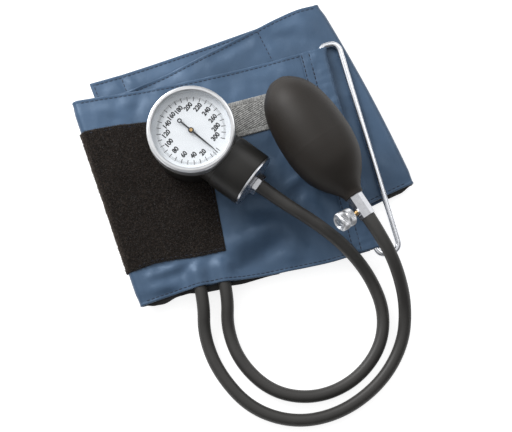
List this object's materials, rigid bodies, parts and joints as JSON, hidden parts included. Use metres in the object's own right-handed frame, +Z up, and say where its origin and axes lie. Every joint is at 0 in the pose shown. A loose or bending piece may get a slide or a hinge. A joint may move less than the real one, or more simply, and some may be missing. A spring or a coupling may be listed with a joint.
{
  "type": "aneroid blood pressure monitor",
  "caption": "Upper arm blood pressure set: folded cloth cuff with a metal bar, round dial gauge, rubber squeeze bulb with release valve, and two hoses.",
  "frame": {"origin": "bottom centre of the box around the folded cuff, gauge, bulb and bar, without the two hoses", "axes": "+X along the cuff's top panel towards the metal bar, +Z up from the surface that the cuff lies on"},
  "size_m": [0.197, 0.2594, 0.0591],
  "materials": {
    "shell_nylon": "woven nylon, slate blue",
    "lining_nylon": "woven nylon, navy",
    "thread": "stitching thread, navy",
    "bladder_rubber": "smooth moulded rubber",
    "loop_pile": "brushed loop pile",
    "hook_tape": "moulded hooks",
    "webbing": "grey ribbed webbing",
    "chrome_wire": "polished plating",
    "hose_rubber": "extruded rubber, satin",
    "case_black": "black enamel",
    "bezel_metal": "satin silver",
    "lens_clear": "clear crystal",
    "dial_white": "matt white",
    "dial_print": "printed ink",
    "pointer_black": "matt black",
    "brass_parts": "turned brass",
    "steel_parts": "machined steel",
    "bulb_rubber": "matt moulded rubber",
    "chrome_fitting": "plated brass fitting"
  },
  "bodies": {
    "set": {"cuff_shell": "shell_nylon", "cuff_lining": "lining_nylon", "bladder": "bladder_rubber", "loop_patch": "loop_pile", "hook_patch": "hook_tape", "gauge_strap": "webbing", "bar_sleeve": "shell_nylon", "gauge_hose": "hose_rubber", "bulb_hose": "hose_rubber", "gauge_case": "case_black", "hook_clip": "steel_parts", "clip_rivets": "steel_parts", "bezel": "bezel_metal", "dial_spacer": "dial_white", "lens": "lens_clear", "dial": "dial_white", "movement_back_plate": "brass_parts", "movement_front_plate": "brass_parts", "movement_posts": "brass_parts", "movement_screws": "steel_parts", "hairspring": "brass_parts", "diaphragm_capsule": "brass_parts", "end_plate": "chrome_fitting", "gauge_inlet": "chrome_fitting", "capsule_nut": "brass_parts", "bulb": "bulb_rubber", "inlet_valve_seat": "case_black", "inlet_filter": "steel_parts", "valve_body": "chrome_fitting"},
    "pointer_spindle": {"pointer": "pointer_black", "pointer_hub": "brass_parts", "pinion_arbor": "steel_parts"},
    "sector": {"sector_gear": "brass_parts", "sector_arbor": "steel_parts"},
    "link": {"push_link": "steel_parts"},
    "bar": {"d_bar": "chrome_wire"},
    "seat": {"seat_pad": "brass_parts"},
    "release_knob": {"knob": "chrome_fitting", "knob_screw": "steel_parts", "release_screw": "brass_parts"},
    "inlet_ball_body": {"inlet_ball": "steel_parts"},
    "outlet_ball_body": {"outlet_ball": "steel_parts"}
  },
  "joints": [
    {"name": "sector_swing", "type": "hinge", "parent": "set", "child": "sector", "pos_m": [-0.02429, 0.00173, 0.0386], "axis": [0, 0, 1], "range_deg": [0, 33.4]},
    {"name": "pointer_spin", "type": "hinge", "parent": "set", "child": "pointer_spindle", "pos_m": [-0.0303, 0.0141, 0.05], "axis": [0, 0, -1], "range_deg": [0, 334]},
    {"name": "link_slide", "type": "slide", "parent": "set", "child": "link", "axis": [-0.6225, 0.7826, 0], "range_m": [0, 0.00175]},
    {"name": "bar_swing", "type": "hinge", "parent": "set", "child": "bar", "pos_m": [0.063, -0.0146, 0.0124], "axis": [0, -1, 0], "range_deg": [0, 35]},
    {"name": "screw_slide", "type": "slide", "parent": "set", "child": "seat", "axis": [0.8808, 0.2896, -0.3746], "range_m": [-0.00112, 0.00075]},
    {"name": "knob_turn", "type": "hinge", "parent": "seat", "child": "release_knob", "pos_m": [0.05923, -0.05742, 0.037], "axis": [0.8808, 0.2896, -0.3746], "range_deg": [-541, 361]},
    {"name": "inlet_ball_lift", "type": "slide", "parent": "set", "child": "inlet_ball_body", "axis": [0.3123, -0.95, 0], "range_m": [0, 0.0008]},
    {"name": "outlet_ball_lift", "type": "slide", "parent": "set", "child": "outlet_ball_body", "axis": [0.3123, -0.95, 0], "range_m": [0, 0.0008]}
  ],
  "couplings": [
    {"joint": "pointer_spin", "follows": "sector_swing", "ratio": 10},
    {"joint": "link_slide", "follows": "sector_swing", "m_per_rad": 0.003},
    {"joint": "knob_turn", "follows": "screw_slide", "rad_per_m": 8377.6}
  ]
}
